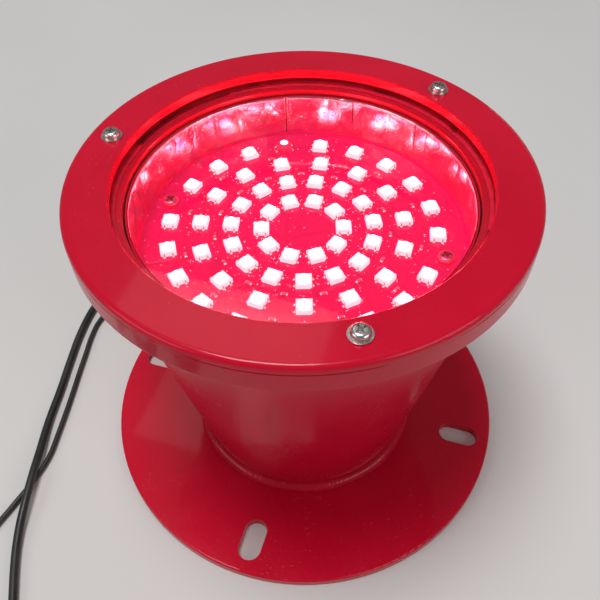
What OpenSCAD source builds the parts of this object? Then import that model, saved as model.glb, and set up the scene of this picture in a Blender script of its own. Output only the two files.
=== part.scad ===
// Round steel warning light: a flanged foot, a body that widens upwards, and a head
// that clamps a flat glass over a board of sixty square lamps.
// The origin is the centre of the foot plate's underside, and +Z points at the glass.
// Two of the foot's four slots lie on X and two on Y.

/* [Foot plate] */
// Diameter of the foot plate
foot_plate_d = 222; // [200:1:260]
// Thickness of the foot plate
foot_plate_t = 5; // [4:0.5:8]
// Distance of the slots' middles from the plate's edge
slot_inset = 17.5; // [14:0.5:24]
// Length of a slot from end to end
slot_l = 22; // [16:1:26]
// Width of a slot
slot_w = 12; // [8:0.5:13]
// Rounding of the plate's upper edge
plate_edge_r = 1; // [0.5:0.1:2]

/* [Body] */
// Outside diameter of the body where it stands on the plate
body_foot_d = 118; // [112:1:126]
// Height of the body from the plate to the head
body_h = 157; // [140:1:190]
// Thickness of the body's sheet
body_wall = 2; // [1.5:0.1:3]
// Leg of the weld round the foot
foot_weld_leg = 5; // [3:0.5:7]
// Leg of the weld under the head
head_weld_leg = 4; // [3:0.5:6]

/* [Head] */
// Diameter of the glass
glass_d = 168; // [140:0.5:210]
// Height of the head's ring below the cover ring
head_h = 10; // [9:0.5:16]
// Width of the ledge under the glass
ledge_w = 8; // [7:0.5:10]
// Distance by which the head stands out past the body
head_lap = 10; // [8:0.5:20]
// Rounding of the head's two edges at the seam under the cover ring
seam_edge = 0.4; // [0.2:0.1:1]
// Thickness of the glass
glass_t = 3; // [3:0.5:5]
// Thickness of the gasket under the glass and of the one over it
gasket_t = 1; // [0.8:0.1:1.5]
// Width of the gasket under the glass
lower_gasket_w = 4.8; // [3:0.2:6]
// Room round the glass in its recess
glass_room = 0.5; // [0.3:0.1:1]
// Width by which the cover ring laps over the glass
cover_lap = 3.5; // [2.5:0.5:5]
// Thickness of the cover ring
cover_t = 4; // [3:0.5:6]
// Rounding of the cover ring's outer edge
cover_edge_r = 2.4; // [1:0.1:3]
// Distance of the cover screws from the recess of the glass
cover_screw_gap = 4; // [3.5:0.1:6]
// Distance of the cover screws from the head's outer edge
cover_screw_rim = 11.5; // [8:0.5:20]
// Number of cover screws
cover_screw_n = 3; // [3:1:6]

/* [Screws] */
// Shank diameter of the cover and board screws
screw_d = 4; // [4:0.1:4.5]
// Head diameter of the cover and board screws
screw_head_d = 7.6; // [7:0.1:8.5]
// Head height of the cover and board screws
screw_head_h = 2.6; // [2:0.1:3]
// Length of a cover screw below its head
cover_screw_l = 12; // [11:0.5:13]
// Length of a board screw below its head
board_screw_l = 16; // [16:0.5:20]
// Outside diameter of a cover washer
washer_d = 9.4; // [9:0.1:10]
// Thickness of a cover washer
washer_t = 0.8; // [0.5:0.1:1]
// Width of a board nut across its flats
nut_af = 7; // [7:0.1:8]
// Height of a board nut
nut_h = 3.2; // [2.5:0.1:4]

/* [Lamp board] */
// Depth of the lamps' faces below the cover ring's top
lamp_depth = 30.5; // [28:0.5:34]
// Thickness of the board
board_t = 1.6; // [1.2:0.2:2]
// Room between the board and the foil
board_room = 0.7; // [0.4:0.1:1.5]
// Distance of a board screw from the board's edge
board_screw_inset = 8.45; // [7:0.05:9]
// Width of a square lamp
lamp_w = 7; // [5:0.1:7.2]
// Height of a lamp's square body
lamp_h = 2.4; // [1.6:0.1:3]
// Diameter of the round window in a lamp
lamp_window_d = 5.8; // [3.6:0.1:6]
// Height by which the window's dome stands over the square body
lamp_dome_h = 2.2; // [0.4:0.1:2.4]
// Radius of the first ring of lamps
ring1_r = 18.7; // [18:0.1:20]
// Distance of the outer ring of lamps from the board's edge
ring4_inset = 12.75; // [11:0.05:14]

/* [Tray] */
// Room between the tray and the head's ledge
tray_room = 0.7; // [0.4:0.1:1.5]
// Thickness of the tray's sheet
tray_wall = 0.8; // [0.6:0.1:1.2]
// Distance of the tray's rim below the head's ledge
tray_drop = 2.7; // [1:0.1:4]
// Thickness of the foil lining
foil_t = 0.3; // [0.2:0.1:0.5]
// Height of the spacers under the board
spacer_h = 3; // [2:0.5:5]
// Width of the bar that carries the tray
bar_w = 20; // [16:1:30]
// Thickness of the bar
bar_t = 3; // [2:0.5:4]

/* [Battery and driver] */
// Diameter of a cell
cell_d = 18.4; // [18:0.1:19]
// Length of a cell
cell_l = 65; // [60:0.5:70]
// Wall of the pack's sleeve
sleeve_t = 0.4; // [0.3:0.1:0.8]
// Thickness of the pad under the pack
pad_t = 1; // [0.5:0.1:2]
// Thickness of the clamp's sheet
clamp_t = 1.5; // [1:0.1:2]
// Length of the driver board
driver_l = 62; // [58:1:66]
// Width of the driver board
driver_w = 48; // [46:1:54]
// Height of the pillars under the driver board
pillar_h = 8; // [6:0.5:12]

/* [Cable glands] */
// Height of the glands above the foot plate, at the body's surface
gland_h = 29; // [27:0.5:40]
// Direction of the power gland from +X
power_gland_angle = 138; // [136:1:140]
// Direction of the signal gland from +X
signal_gland_angle = 162; // [161:1:165]
// Least room between the two glands' welds, which move apart where they would touch
gland_room = 1.5; // [1:0.1:1.8]
// Outside diameter of a welded socket
socket_d = 20; // [18:0.5:21]
// Length by which a socket stands out of the body
socket_out = 12; // [10:0.5:16]
// Diameter of the power lead
power_lead_d = 4.5; // [4:0.1:5]
// Diameter of the signal lead
signal_lead_d = 3; // [2.8:0.1:3.2]

/* [Hidden] */
$fn = 96;
fit = 0.05;
running = 0.3;
painted = "crimson";

// Heights of the stack, from the foot upwards
body_base_z = foot_plate_t;
body_top_z = body_base_z + body_h;
head_top_z = body_top_z + head_h;
stack_h = glass_t + 2 * gasket_t;
ledge_z = head_top_z - stack_h;
glass_z = ledge_z + gasket_t;
cover_top_z = head_top_z + cover_t;
lamp_face_z = cover_top_z - lamp_depth;
board_top_z = lamp_face_z - lamp_h;
board_base_z = board_top_z - board_t;
tray_floor_z = board_base_z - spacer_h;
bar_top_z = tray_floor_z - tray_wall;
bar_base_z = bar_top_z - bar_t;
tray_rim_z = ledge_z - tray_drop;

// Radii of the body, the recess and the tray
recess_r = glass_d / 2 + glass_room;
ledge_r = recess_r - ledge_w;
cover_screw_r = recess_r + cover_screw_gap;
head_r = cover_screw_r + cover_screw_rim;
opening_r = glass_d / 2 - cover_lap;
body_top_r = head_r - head_lap;
body_slope = (body_top_r - body_foot_d / 2) / body_h;
body_lean = atan(body_slope);
wall_across = body_wall / cos(body_lean);
function body_r(z) = body_foot_d / 2 + body_slope * (z - body_base_z);
function body_in_r(z) = body_r(z) - wall_across;
socket_weld_leg = 2.5;
gland_half_room = socket_d / 2 + socket_weld_leg + gland_room / 2;
least_spread = 2 * asin(min(1, gland_half_room / body_r(body_base_z + gland_h)));
gland_widening = max(0, least_spread - (signal_gland_angle - power_gland_angle)) / 2;
power_gland_at = power_gland_angle - gland_widening;
signal_gland_at = signal_gland_angle + gland_widening;
tray_out_r = ledge_r - tray_room;
tray_in_r = tray_out_r - tray_wall;
foil_out_r = tray_in_r - running / 2;
foil_in_r = foil_out_r - foil_t;
board_r = foil_in_r - board_room;
board_screw_r = board_r - board_screw_inset;

// Four evenly spaced rings of lamps
ring4_r = board_r - ring4_inset;
ring2_r = ring1_r + (ring4_r - ring1_r) / 3;
ring3_r = ring1_r + (ring4_r - ring1_r) * 2 / 3;

module ring(r_in, r_out, h) {
    difference() {
        cylinder(r = r_out, h = h);
        translate([0, 0, -1]) cylinder(r = r_in, h = h + 2);
    }
}

// Rectangle from the origin with its upper outer corner rounded
module rounded_edge(w, h, e) {
    union() {
        square([w - e, h]);
        square([w, h - e]);
        translate([w - e, h - e]) intersection() {
            circle(r = e);
            square([e, e]);
        }
    }
}

// Square on its corner that cuts a bevel e wide on an outline's corner at the origin
module edge_cut(e) {
    rotate(45) square(e * sqrt(2), center = true);
}

// Places its children on a circle, turned to face outwards
module around(n, r, first = 0) {
    for (i = [0:n - 1]) rotate(first + i * 360 / n) translate([r, 0, 0]) children();
}

// Solid bounded by the body's outer surface
module body_outer() {
    translate([0, 0, body_base_z])
        cylinder(r1 = body_foot_d / 2, r2 = body_top_r, h = body_h, $fn = 360);
}

// Profile of a rounded bead between the body and a flat face; dir is 1 above the face and -1 below it
module bead(z, leg, dir) {
    far = 2 * leg;
    intersection() {
        translate([body_r(z) + leg * 0.1, z + dir * leg * 0.1]) circle(r = leg * 0.92);
        polygon([
            [body_r(z), z], [body_r(z) + far, z],
            [body_r(z) + far, z + dir * far], [body_r(z + dir * far), z + dir * far]
        ]);
    }
}

// Foot plate
module slot() {
    hull_l = slot_l - slot_w;
    linear_extrude(foot_plate_t + 2) union() {
        square([hull_l, slot_w], center = true);
        for (s = [-1, 1]) translate([s * hull_l / 2, 0]) circle(d = slot_w);
    }
}

module foot_plate() {
    color(painted) difference() {
        rotate_extrude() rounded_edge(foot_plate_d / 2, foot_plate_t, plate_edge_r);
        translate([0, 0, -1]) around(4, foot_plate_d / 2 - slot_inset) slot();
    }
}

// Body
module body_shell() {
    color(painted) difference() {
        rotate_extrude() polygon([
            [body_in_r(body_base_z), body_base_z], [body_r(body_base_z), body_base_z],
            [body_r(body_top_z), body_top_z], [body_in_r(body_top_z), body_top_z]
        ]);
        at_glands() translate([-20, 0, 0]) rotate([0, 90, 0]) cylinder(d = socket_d + 2 * fit, h = 40);
    }
}

module foot_weld() {
    color(painted) rotate_extrude() bead(body_base_z, foot_weld_leg, 1);
}

// Head
screw_tip_z = cover_top_z + washer_t - cover_screw_l;

module at_cover_screws(z) {
    translate([0, 0, z]) around(cover_screw_n, cover_screw_r, 180) children();
}

module head_ring() {
    color(painted) difference() {
        translate([0, 0, body_top_z]) rotate_extrude() difference() {
            translate([0, head_h]) mirror([0, 1]) rounded_edge(head_r, head_h, 1);
            translate([-1, -1]) square([ledge_r + 1, head_h + 2]);
            translate([0, head_h - stack_h]) square([recess_r, stack_h + 1]);
            translate([head_r, head_h]) edge_cut(seam_edge);
        }
        at_cover_screws(screw_tip_z - 1.5) cylinder(d = screw_d + 2 * fit, h = cover_screw_l);
    }
}

module head_weld() {
    color(painted) rotate_extrude() bead(body_top_z, head_weld_leg, -1);
}

// Clamped glass and its gaskets
module lower_gasket() {
    color("darkred") translate([0, 0, ledge_z]) ring(glass_d / 2 - lower_gasket_w, glass_d / 2, gasket_t);
}

module lens_glass() {
    r = glass_d / 2;
    bevel = 0.4;
    color([0.9, 0.97, 0.98, 0.35]) translate([0, 0, glass_z]) rotate_extrude() polygon([
        [0, 0], [r - bevel, 0], [r, bevel], [r, glass_t - bevel], [r - bevel, glass_t], [0, glass_t]
    ]);
}

module upper_gasket() {
    color("darkred") translate([0, 0, glass_z + glass_t]) ring(opening_r + 0.5, glass_d / 2, gasket_t);
}

module cover_ring() {
    inner_e = 0.5;
    color(painted) difference() {
        translate([0, 0, head_top_z]) rotate_extrude() difference() {
            rounded_edge(head_r, cover_t, cover_edge_r);
            translate([-1, -1]) square([opening_r + 1, cover_t + 2]);
            translate([opening_r, cover_t]) edge_cut(inner_e);
            translate([head_r, 0]) edge_cut(seam_edge);
        }
        at_cover_screws(head_top_z - 1) cylinder(d = screw_d + 0.5, h = cover_t + 2);
    }
}

module cover_washers() {
    color("silver") at_cover_screws(cover_top_z) ring((screw_d + 0.4) / 2, washer_d / 2, washer_t);
}

// Pan-head screw with a cross recess; its head's underside is at the origin
module pan_screw(l, d = screw_d, head_d = screw_head_d, head_h = screw_head_h) {
    difference() {
        union() {
            translate([0, 0, -l]) cylinder(d = d - 2 * fit, h = l);
            rotate_extrude() rounded_edge(head_d / 2, head_h, head_h * 0.65);
        }
        for (a = [0, 90]) rotate(a) translate([-head_d * 0.29, -head_d * 0.065, head_h * 0.4])
            cube([head_d * 0.58, head_d * 0.13, head_h]);
    }
}

module cover_screws() {
    color("silver") at_cover_screws(cover_top_z + washer_t) rotate(20) pan_screw(cover_screw_l);
}

// Tray and its reflecting lining
module at_board_screws(z) {
    for (s = [-1, 1]) translate([s * board_screw_r, 0, z]) rotate(30 * s) children();
}

module lamp_tray() {
    color(painted) difference() {
        translate([0, 0, bar_top_z]) cylinder(r = tray_out_r, h = tray_rim_z - bar_top_z);
        translate([0, 0, tray_floor_z]) cylinder(r = tray_in_r, h = tray_rim_z);
        at_board_screws(bar_top_z - 1) cylinder(d = screw_d + 0.4, h = tray_wall + 2);
        translate([0, grommet_y, bar_top_z - 1]) cylinder(r = grommet_hole_r, h = tray_wall + 2);
    }
}

foil_slit_angle = 113.5;

module foil_lining() {
    slit_w = 1.2;
    color("whitesmoke") translate([0, 0, tray_floor_z]) difference() {
        ring(foil_in_r, foil_out_r, tray_rim_z - tray_floor_z);
        rotate(foil_slit_angle) translate([foil_in_r - 1, -slit_w / 2, -1])
            cube([foil_t + 3, slit_w, tray_rim_z]);
    }
}

// Lamp board: each row is a ring's radius and the directions of its lamps
ring4_step = 17.27;
ring4_half = [for (i = [0:9]) (i - 4.5) * ring4_step];
lamp_rings = [
    [ring1_r, [for (i = [0:9]) 18 + 36 * i]],
    [ring2_r, [for (i = [0:14]) 24 * i]],
    [ring3_r, [for (i = [0:14]) 24 * i]],
    [ring4_r, [for (middle = [90, 270]) for (a = ring4_half) middle + a]]
];

module at_lamps() {
    for (row = lamp_rings) for (a = row[1]) rotate(a) translate([row[0], 0, board_top_z]) children();
}

module lamp_board() {
    color("crimson") difference() {
        translate([0, 0, board_base_z]) cylinder(r = board_r, h = board_t);
        at_board_screws(board_base_z - 1) cylinder(d = screw_d + 0.4, h = board_t + 2);
    }
}

module lamp_bodies() {
    cut = lamp_w * 0.12;
    half = lamp_w / 2;
    color("ivory") at_lamps() difference() {
        linear_extrude(lamp_h) polygon([
            [-half, -half], [half, -half], [half, half - cut], [half - cut, half], [-half, half]
        ]);
        translate([0, 0, lamp_h / 2]) cylinder(d = lamp_window_d, h = lamp_h, $fn = 48);
    }
}

module lamp_windows() {
    r = lamp_window_d / 2 - fit;
    // Radius of the sphere whose cap is as wide as the window and as high as the dome
    ball = (r * r + lamp_dome_h * lamp_dome_h) / (2 * lamp_dome_h);
    color("mistyrose") at_lamps() union() {
        translate([0, 0, lamp_h / 2]) cylinder(r = r, h = lamp_h / 2, $fn = 48);
        translate([0, 0, lamp_h]) rotate_extrude($fn = 48) intersection() {
            translate([0, lamp_dome_h - ball]) circle(r = ball, $fn = 96);
            square([r, lamp_dome_h]);
        }
    }
}

module board_resistors() {
    size = [1.3, 2.1, 0.6];
    rows = [[(ring3_r + ring4_r) / 2, 12, 4], [(ring2_r + ring3_r) / 2, 15, 12]];
    color("black") translate([0, 0, board_top_z + size[2] / 2]) for (row = rows)
        around(row[1], row[0], row[2]) cube(size, center = true);
}

module board_screws() {
    color("silver") at_board_screws(board_top_z) pan_screw(board_screw_l);
}

module board_spacers() {
    color("ivory") at_board_screws(tray_floor_z) ring((screw_d + 0.2) / 2, 3.6, spacer_h);
}

module hex_nut(af, h, bore_d) {
    difference() {
        cylinder(r = af / 2 / cos(30), h = h, $fn = 6);
        translate([0, 0, -1]) cylinder(d = bore_d, h = h + 2);
    }
}

module board_nuts() {
    color("silver") at_board_screws(bar_base_z - nut_h) hex_nut(nut_af, nut_h, screw_d + 2 * fit);
}

module carrier_bar() {
    r_low = body_in_r(bar_base_z) - 0.2;
    r_high = body_in_r(bar_top_z) - 0.2;
    color("slategray") difference() {
        translate([0, 0, bar_base_z]) intersection() {
            translate([-body_top_r, -bar_w / 2, 0]) cube([2 * body_top_r, bar_w, bar_t]);
            cylinder(r1 = r_low, r2 = r_high, h = bar_t);
        }
        at_board_screws(bar_base_z - 1) cylinder(d = screw_d + 0.4, h = bar_t + 2);
    }
}

// Grommet where the lamp leads pass through the tray's floor
grommet_y = 40;
grommet_hole_r = 4;
lamp_lead_d = 2.2;

module grommet_half(z) {
    translate([0, grommet_y, z]) cylinder(r = grommet_hole_r + 1.5, h = 1);
}

module tray_grommet() {
    color("dimgray") difference() {
        union() {
            translate([0, grommet_y, bar_top_z]) cylinder(r = grommet_hole_r - fit, h = tray_wall);
            grommet_half(bar_top_z - 1);
            grommet_half(tray_floor_z);
        }
        for (s = [-1, 1]) translate([s * 1.6, grommet_y, bar_top_z - 2])
            cylinder(d = lamp_lead_d + 0.2, h = 6);
    }
}

// Battery pack, three cells wide and two high
cell_gap = 0.4;
cell_pitch = cell_d + cell_gap;
pack_w = 2 * cell_pitch + cell_d + 2 * (cell_gap / 2 + sleeve_t);
pack_h = cell_pitch + cell_d + 2 * (cell_gap / 2 + sleeve_t);
pack_z = body_base_z + pad_t;
clamp_foot = 12;
clamp_l = 50;
clamp_in_w = pack_w + 2 * running;
clamp_in_z = pack_z + pack_h + running;
clamp_top_z = clamp_in_z + clamp_t;
stud_y = clamp_in_w / 2 + clamp_t + clamp_foot / 2;

module at_cells() {
    for (row = [0, 1]) for (column = [-1:1])
        translate([0, column * cell_pitch, pack_z + pack_h / 2 + (row - 0.5) * cell_pitch]) children();
}

module battery_cells() {
    nub_h = 1.2;
    color("teal") at_cells() rotate([0, 90, 0]) union() {
        translate([0, 0, -cell_l / 2]) cylinder(d = cell_d, h = cell_l - nub_h);
        translate([0, 0, cell_l / 2 - nub_h]) cylinder(d = cell_d * 0.35, h = nub_h);
    }
}

module pack_outline(w, h, r) {
    union() {
        square([w - 2 * r, h], center = true);
        square([w, h - 2 * r], center = true);
        for (sx = [-1, 1]) for (sy = [-1, 1]) translate([sx * (w / 2 - r), sy * (h / 2 - r)]) circle(r = r);
    }
}

module battery_sleeve() {
    r = pack_h / 4;
    color("royalblue") translate([-cell_l / 2 - 0.5, 0, pack_z + pack_h / 2]) rotate([90, 0, 90])
        linear_extrude(cell_l + 1) difference() {
            pack_outline(pack_w, pack_h, r);
            pack_outline(pack_w - 2 * sleeve_t, pack_h - 2 * sleeve_t, r - sleeve_t);
        }
}

module battery_pad() {
    color("black") translate([-cell_l / 2, -pack_w / 2 + 4, body_base_z]) cube([cell_l, pack_w - 8, pad_t]);
}

// Block on the foot plate, centred on the origin
module plate_block(l, w, h) {
    translate([-l / 2, -w / 2, body_base_z]) cube([l, w, h]);
}

module battery_clamp() {
    out_w = clamp_in_w + 2 * clamp_t;
    color("lightslategray") difference() {
        union() {
            plate_block(clamp_l, out_w, clamp_top_z - body_base_z);
            plate_block(clamp_l, out_w + 2 * clamp_foot, clamp_t);
        }
        translate([0, 0, -1]) plate_block(clamp_l + 2, clamp_in_w, clamp_in_z - body_base_z + 1);
        at_studs(body_base_z - 1) cylinder(d = screw_d + 0.4, h = clamp_t + 2);
        at_pillars(clamp_top_z - clamp_t - 1) cylinder(d = 3.2, h = clamp_t + 2);
    }
}

module at_studs(z) {
    for (sx = [-1, 1]) for (sy = [-1, 1]) translate([sx * clamp_l * 0.32, sy * stud_y, z]) children();
}

module clamp_studs() {
    color("silver") at_studs(body_base_z) cylinder(d = screw_d - 2 * fit, h = clamp_t + nut_h + 2.5);
}

module clamp_nuts() {
    color("silver") at_studs(body_base_z + clamp_t) hex_nut(nut_af, nut_h, screw_d + 2 * fit);
}

// Driver board on four pillars over the clamp
driver_t = 1.6;
driver_base_z = clamp_top_z + pillar_h;
driver_top_z = driver_base_z + driver_t;
driver_hole_d = 3.2;
pillar_screw_d = 3;

module at_pillars(z) {
    x = clamp_l / 2 - 5;
    y = driver_w / 2 - 5;
    for (sx = [-1, 1]) for (sy = [-1, 1]) translate([sx * x, sy * y, z]) children();
}

module driver_board() {
    color("forestgreen") difference() {
        translate([-driver_l / 2, -driver_w / 2, driver_base_z]) cube([driver_l, driver_w, driver_t]);
        at_pillars(driver_base_z - 1) cylinder(d = driver_hole_d, h = driver_t + 2);
    }
}

module driver_pillars() {
    color("goldenrod") at_pillars(clamp_top_z) hex_nut(5, pillar_h, pillar_screw_d + 2 * fit);
}

module driver_screws() {
    color("silver") at_pillars(driver_top_z) pan_screw(5, pillar_screw_d, 5.6, 2);
}

module driver_coil() {
    color("peru") translate([14, -6, driver_top_z]) rotate_extrude() translate([7, 4]) circle(r = 3.6);
}

module driver_capacitors() {
    color("midnightblue") translate([-4, -14, driver_top_z]) {
        cylinder(d = 10, h = 16);
        translate([-10.2, 0, 0]) cylinder(d = 8, h = 12);
    }
}

module driver_chips() {
    sizes = [[7, 7, 1.4], [5, 6, 1.5], [3, 1.8, 1.1]];
    color([0.15, 0.15, 0.16]) for (i = [0:2])
        translate([-20 + 9 * i, -2, driver_top_z]) cube(sizes[i]);
}

terminal_n = 6;
terminal_pitch = 5;
terminal_y = 8;
terminal_h = 10;
terminal_depth = 8;

module terminal_block() {
    l = terminal_n * terminal_pitch;
    color("seagreen") translate([-l / 2, terminal_y, driver_top_z]) difference() {
        cube([l, terminal_depth, terminal_h]);
        for (i = [0:terminal_n - 1]) translate([(i + 0.5) * terminal_pitch, 0, 0]) {
            translate([0, terminal_depth + 1, 3.2]) rotate([90, 0, 0]) cylinder(d = 3, h = 5);
            translate([0, terminal_depth / 2 - 0.5, terminal_h - 3]) cylinder(d = 3.4, h = 4);
        }
    }
}

// Glands: local X points out of the body, square to its wall
module at_gland(angle) {
    z = body_base_z + gland_h;
    rotate(angle) translate([body_r(z), 0, z]) rotate([0, body_lean, 0]) children();
}

module at_glands() {
    at_gland(power_gland_at) children();
    at_gland(signal_gland_at) children();
}

// Round bar along local X from x0 to x1, with a bore
module tube_x(x0, x1, d, bore_d) {
    translate([x0, 0, 0]) rotate([0, 90, 0]) difference() {
        cylinder(d = d, h = x1 - x0);
        translate([0, 0, -1]) cylinder(d = bore_d, h = x1 - x0 + 2);
    }
}

gland_thread_d = 12;
gland_flange_t = 4;
gland_flange_af = 16;
gland_cap_d = 15;
gland_cap_l = 11;
thread_end = 5;
seal_end = 8.5;
relief_l = 22;
socket_in = 4;
gland_face_x = socket_out;
cap_x = gland_face_x + gland_flange_t;
relief_x = cap_x + gland_cap_l;
relief_end_x = relief_x + relief_l;
lead_end_x = gland_face_x - 10;

module gland_sockets() {
    color(painted) at_glands() tube_x(-socket_in, socket_out, socket_d, gland_thread_d + 2 * fit);
}

module socket_welds() {
    leg = socket_weld_leg;
    r = socket_d / 2;
    profile = [[r, -3], [r + leg, -3], [r + leg, 0], [r, leg]];
    color(painted) difference() {
        at_glands() rotate([0, 90, 0]) rotate_extrude() polygon(profile);
        body_outer();
    }
}

module gland_body(lead_d) {
    difference() {
        union() {
            tube_x(gland_face_x - 9, gland_face_x, gland_thread_d, lead_d + 1);
            translate([gland_face_x, 0, 0]) rotate([0, 90, 0])
                cylinder(r = gland_flange_af / 2 / cos(30), h = gland_flange_t, $fn = 6);
            tube_x(cap_x, cap_x + thread_end, gland_thread_d, lead_d + 1);
        }
        translate([gland_face_x - 10, 0, 0]) rotate([0, 90, 0]) cylinder(d = lead_d + 1, h = 30);
    }
}

module gland_bodies() {
    color("black") {
        at_gland(power_gland_at) gland_body(power_lead_d);
        at_gland(signal_gland_at) gland_body(signal_lead_d);
    }
}

module gland_seal(lead_d) {
    tube_x(cap_x + thread_end, cap_x + seal_end, gland_thread_d - 1, lead_d + 0.2);
}

module gland_seals() {
    color("gray") {
        at_gland(power_gland_at) gland_seal(power_lead_d);
        at_gland(signal_gland_at) gland_seal(signal_lead_d);
    }
}

// Domed nut that squeezes the seal round the lead
module gland_nut(lead_d) {
    r = gland_cap_d / 2;
    mouth_r = lead_d / 2 + 1.4;
    dome_r = r - lead_d / 2 - 1;
    translate([cap_x, 0, 0]) rotate([0, 90, 0]) difference() {
        union() {
            rotate_extrude() rounded_edge(r, gland_cap_l, dome_r);
            around(8, r, 22.5) translate([-0.4, 0, 0]) cylinder(r = 1.1, h = gland_cap_l - dome_r);
        }
        translate([0, 0, -1]) cylinder(d = gland_thread_d + 2 * fit, h = seal_end + 1);
        cylinder(r = mouth_r, h = gland_cap_l + 1);
    }
}

module gland_nuts() {
    color("black") {
        at_gland(power_gland_at) gland_nut(power_lead_d);
        at_gland(signal_gland_at) gland_nut(signal_lead_d);
    }
}

// Tapered rubber sleeve that keeps the lead from bending at the nut
module bend_relief(lead_d) {
    bore = lead_d / 2 + 0.05;
    foot_r = lead_d / 2 + 1.35;
    tip_r = lead_d / 2 + 0.6;
    root = gland_cap_l - seal_end;
    translate([cap_x + seal_end, 0, 0]) rotate([0, 90, 0]) difference() {
        union() {
            cylinder(r = foot_r, h = root);
            translate([0, 0, root]) cylinder(r1 = foot_r, r2 = tip_r, h = relief_l);
        }
        translate([0, 0, -1]) cylinder(r = bore, h = relief_l + root + 2);
        for (i = [0:3]) translate([0, 0, root + relief_l * (0.2 + 0.18 * i)])
            ring(foot_r - 0.7 - 0.14 * i, foot_r + 1, 1.4);
    }
}

module bend_reliefs() {
    color([0.12, 0.12, 0.12]) {
        at_gland(power_gland_at) bend_relief(power_lead_d);
        at_gland(signal_gland_at) bend_relief(signal_lead_d);
    }
}

// Straight ends of the two leads, held in the glands
module lead_end(d) {
    translate([lead_end_x, 0, 0]) rotate([0, 90, 0]) cylinder(d = d, h = relief_end_x - lead_end_x);
}

module lead_ends() {
    color([0.1, 0.1, 0.1]) {
        at_gland(power_gland_at) lead_end(power_lead_d);
        at_gland(signal_gland_at) lead_end(signal_lead_d);
    }
}

// Tubes swept along points
function unit(v) = v / norm(v);
function clamped(p, i) = p[max(0, min(len(p) - 1, i))];
function tangent(p, i) = unit(clamped(p, i + 1) - clamped(p, i - 1));
function total(v, i = 0, s = 0) = i < len(v) ? total(v, i + 1, s + v[i]) : s;
function route_length(p) = total([for (i = [1:len(p) - 1]) norm(p[i] - p[i - 1])]);

// Point a share t of the way from b to c on the smooth curve through four points
function between(a, b, c, d, t) = let (
    first = c - a,
    second = 2 * a - 5 * b + 4 * c - d,
    third = 3 * b - a - 3 * c + d
) b + (first * t + second * t * t + third * t * t * t) / 2;
function smoothed(p, n) = [
    for (i = [0:len(p) - 2]) for (k = [0:n - 1])
        between(clamped(p, i - 1), p[i], p[i + 1], clamped(p, i + 2), k / n),
    p[len(p) - 1]
];

module swept_tube(path, d, sides, reference = [0, 0, 1]) {
    last = (len(path) - 1) * sides;
    points = [
        for (i = [0:len(path) - 1])
            let (t = tangent(path, i), side = unit(cross(reference, t)), up = cross(t, side))
            for (k = [0:sides - 1]) let (a = (k + 0.5) * 360 / sides)
                path[i] + d / 2 * (cos(a) * side + sin(a) * up)
    ];
    walls = [
        for (base = [0:sides:last - 1]) for (k = [0:sides - 1])
            let (m = (k + 1) % sides, a = base + k, b = base + m, c = a + sides, e = b + sides)
            for (face = [[a, e, b], [a, c, e]]) face
    ];
    first_cap = [for (k = [0:sides - 1]) k];
    last_cap = [for (k = [sides - 1:-1:0]) last + k];
    polyhedron(points = points, faces = concat(walls, [last_cap], [first_cap]));
}

// Point on the axis of a gland, given by its distance from the body's wall
function gland_point(angle, x) =
    let (z = body_base_z + gland_h, r = body_r(z) + x * cos(body_lean))
    [r * cos(angle), r * sin(angle), z - x * sin(body_lean)];

// Leads inside the body: one from each gland, two from the pack and two to the lamp board
inner_lead_d = 2;
terminal_z = driver_top_z + 3.2;

// Lead into the terminal at x, along the given points
module inner_lead(points, x, d = inner_lead_d, reference = [1, 0.3, 0]) {
    back = terminal_y + terminal_depth - 2.9;
    terminal = [[x, 24, terminal_z + 0.2], [x, 19, terminal_z], [x, back, terminal_z]];
    swept_tube(smoothed(concat(points, terminal), 2), d, 8, reference);
}

module inner_leads() {
    // The cells' ends, the upper cells, the clamp's outer side, and the fall from the bar to the terminals
    end_x = cell_l / 2;
    upper_z = pack_z + pack_h / 2 + cell_pitch / 2;
    side_y = clamp_in_w / 2 + clamp_t;
    drop = bar_top_z - 8 - terminal_z;
    color("firebrick") {
        for (lead = [[power_gland_at, -12.5], [signal_gland_at, -7.5]]) let (a = lead[0], x = lead[1])
            inner_lead([
                gland_point(a, lead_end_x), gland_point(a, lead_end_x - 3), gland_point(a, lead_end_x - 7),
                gland_point(a, -9) + [0, 0, 4], [x - 12, side_y + 2.6, driver_base_z],
                [x - 4, side_y + 0.6, terminal_z + 5]
            ], x);
        inner_lead([
            [end_x + running, cell_pitch, upper_z], [end_x + 4.5, cell_pitch, upper_z + 0.6],
            [end_x + 7.5, cell_pitch + 4.2, (upper_z + terminal_z) / 2 - 4.8],
            [end_x + 3.5, side_y - 1.4, terminal_z - 9], [24, side_y + 2.6, terminal_z - 5],
            [11, side_y + 4.6, terminal_z - 4.5], [4, side_y + 2.6, terminal_z - 3]
        ], 2.5);
        inner_lead([
            [end_x + running, 0, upper_z], [end_x + 4.5, 0, upper_z + 0.6], [end_x + 10.5, 5, upper_z + 3.4],
            [end_x + 13.5, cell_pitch, upper_z + 5.4], [end_x + 7.5, side_y + 2.6, terminal_z - 16],
            [24, side_y + 8.6, terminal_z - 11], [8, side_y + 9.1, terminal_z - 8.5],
            [-1, side_y + 6.6, terminal_z - 6], [-2.4, side_y - 0.4, terminal_z - 1.5]
        ], -2.5);
        for (s = [-1, 1]) let (x = 10 + s * 2.5) inner_lead([
            [s * 1.6, grommet_y, board_base_z - running], [s * 1.6, grommet_y, tray_floor_z + 1],
            [s * 1.6, grommet_y, bar_top_z - 1.5], [s * 1.6, grommet_y, bar_top_z - 8],
            [5 + s * 2, 38, terminal_z + 0.72 * drop], [8 + s * 2.2, 36, terminal_z + 0.37 * drop],
            [x, side_y + 3.6, terminal_z + 13], [x, side_y - 0.4, terminal_z + 4]
        ], x, lamp_lead_d, [1, 0, 0]);
    }
}

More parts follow.
